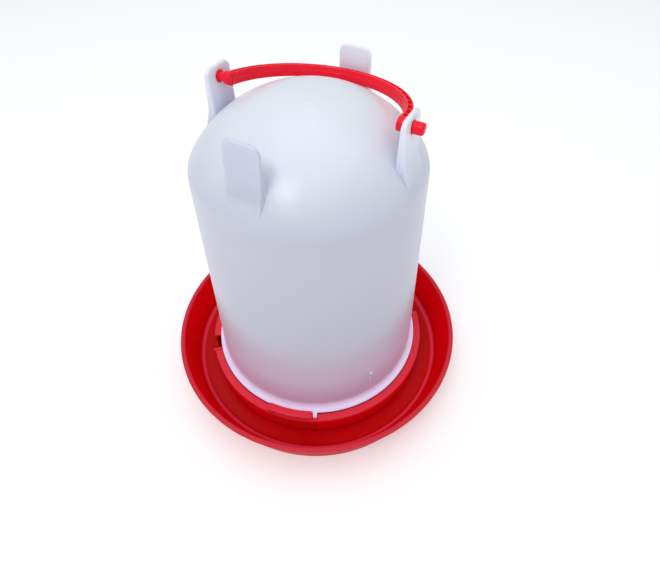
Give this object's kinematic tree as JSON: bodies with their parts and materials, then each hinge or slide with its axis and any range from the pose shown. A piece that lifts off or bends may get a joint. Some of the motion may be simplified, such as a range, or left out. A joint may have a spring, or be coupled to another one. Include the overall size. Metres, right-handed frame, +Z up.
{
  "type": "poultry waterer fount",
  "caption": "Poultry drinker: a milky domed water fount on feet, a round red drinking tray with a bayonet collar, and a red carry handle that swings over the dome.",
  "frame": {"origin": "centre of the base's foot ring, on the surface that it stands on", "axes": "+Z up along the axis of the fount, X along the carry handle's pivot, +Y the side that the handle leans back to"},
  "size_m": [0.272, 0.272, 0.2805],
  "materials": {
    "base_plastic": "smooth moulded polypropylene, satin to gloss",
    "fount_plastic": "milky translucent blow-moulded polyethylene, satin",
    "handle_plastic": "smooth moulded polypropylene, satin to gloss"
  },
  "bodies": {
    "base": {"drinking_base": "base_plastic"},
    "fount": {"fount": "fount_plastic"},
    "handle": {"carry_handle": "handle_plastic"}
  },
  "joints": [
    {"name": "fount_twist", "type": "hinge", "parent": "base", "child": "fount", "pos_m": [0, 0, 0.036], "axis": [0, 0, 1], "range_deg": [-19.5, 0]},
    {"name": "handle_swing", "type": "hinge", "parent": "fount", "child": "handle", "pos_m": [0, 0, 0.273], "axis": [1, 0, 0], "range_deg": [0, 199]}
  ]
}
